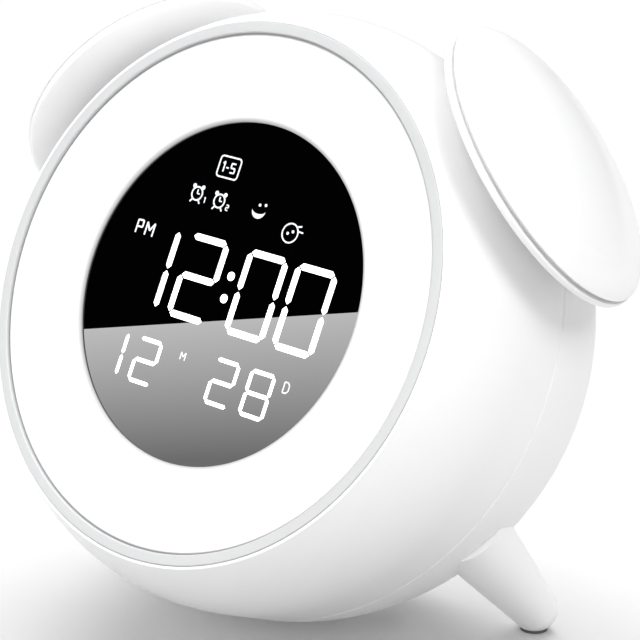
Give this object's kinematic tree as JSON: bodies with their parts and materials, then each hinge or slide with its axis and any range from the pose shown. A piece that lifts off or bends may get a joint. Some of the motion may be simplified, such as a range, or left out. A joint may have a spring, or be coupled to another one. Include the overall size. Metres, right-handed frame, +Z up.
{
  "type": "sunrise alarm clock",
  "caption": "Round sunrise alarm clock leaning back on two legs, with a light ring round a dark digit display and two press ears.",
  "frame": {"origin": "middle of the base pad's underside, on the table", "axes": "+Z up, -Y towards the user, +X to the right as the user sees the face"},
  "size_m": [0.1808, 0.1385, 0.1606],
  "materials": {
    "shell_white": "gloss",
    "shell_rear": "gloss",
    "bezel_grey": "satin",
    "diffuser": "translucent",
    "lens_black": "mirror gloss",
    "inner_black": "matte",
    "inner_white": "matte",
    "board_green": "solder mask",
    "chip_black": "matte",
    "diode": "clear resin",
    "steel": "zinc plated",
    "key_grey": "satin",
    "rubber_grey": "matte",
    "paper": "pressed paper",
    "can": "sleeved"
  },
  "bodies": {
    "clock": {"backup_cell": "steel", "base_pad": "rubber_grey", "bezel_ring": "bezel_grey", "board_screws": "steel", "capacitors": "can", "cell_contact": "steel", "controller_chip": "chip_black", "digit_module": "chip_black", "display_frame": "inner_black", "display_lens": "lens_black", "ear_base_left": "shell_white", "ear_base_right": "shell_white", "ear_board_left": "board_green", "ear_board_right": "board_green", "ear_screws": "steel", "ear_switch_left": "inner_black", "ear_switch_right": "inner_black", "face_screws": "steel", "front_housing": "shell_white", "headers": "inner_white", "housing_screws": "steel", "key_board": "board_green", "key_switches": "inner_black", "led_board": "board_green", "leds": "diode", "leg_left": "shell_white", "leg_pads": "rubber_grey", "leg_right": "shell_white", "leg_screws": "steel", "light_chamber": "inner_white", "light_ring": "diffuser", "main_board": "board_green", "power_inlet": "inner_black", "rear_housing": "shell_rear", "speaker": "steel", "speaker_cone": "paper"},
    "ear_cap_right": {"ear_cap_right": "shell_white", "ear_plunger_right": "inner_white"},
    "ear_cap_left": {"ear_cap_left": "shell_white", "ear_plunger_left": "inner_white"},
    "key_1": {"key_1": "key_grey", "key_plunger_1": "inner_white"},
    "key_2": {"key_2": "key_grey", "key_plunger_2": "inner_white"},
    "key_3": {"key_3": "key_grey", "key_plunger_3": "inner_white"},
    "key_4": {"key_4": "key_grey", "key_plunger_4": "inner_white"},
    "key_5": {"key_5": "key_grey", "key_plunger_5": "inner_white"},
    "battery_door": {"battery_door": "shell_rear", "door_screw": "steel"}
  },
  "joints": [
    {"name": "ear_press_right", "type": "slide", "parent": "clock", "child": "ear_cap_right", "axis": [-0.7837, -0.2625, -0.563], "range_m": [0, 0.0008], "stiffness_N_per_m": 2000, "springref_m": -0.0005},
    {"name": "ear_press_left", "type": "slide", "parent": "clock", "child": "ear_cap_left", "axis": [0.7837, -0.2625, -0.563], "range_m": [0, 0.0008], "stiffness_N_per_m": 2000, "springref_m": -0.0005},
    {"name": "key_press_1", "type": "slide", "parent": "clock", "child": "key_1", "axis": [0, -0.9063, 0.4226], "range_m": [0, 0.0006], "stiffness_N_per_m": 2000, "springref_m": -0.0005},
    {"name": "key_press_2", "type": "slide", "parent": "clock", "child": "key_2", "axis": [0, -0.9063, 0.4226], "range_m": [0, 0.0006], "stiffness_N_per_m": 2000, "springref_m": -0.0005},
    {"name": "key_press_3", "type": "slide", "parent": "clock", "child": "key_3", "axis": [0, -0.9063, 0.4226], "range_m": [0, 0.0006], "stiffness_N_per_m": 2000, "springref_m": -0.0005},
    {"name": "key_press_4", "type": "slide", "parent": "clock", "child": "key_4", "axis": [0, -0.9063, 0.4226], "range_m": [0, 0.0006], "stiffness_N_per_m": 2000, "springref_m": -0.0005},
    {"name": "key_press_5", "type": "slide", "parent": "clock", "child": "key_5", "axis": [0, -0.9063, 0.4226], "range_m": [0, 0.0006], "stiffness_N_per_m": 2000, "springref_m": -0.0005},
    {"name": "door_lift", "type": "slide", "parent": "clock", "child": "battery_door", "axis": [0, 0.9063, -0.4226], "range_m": [0, 0.008]}
  ]
}
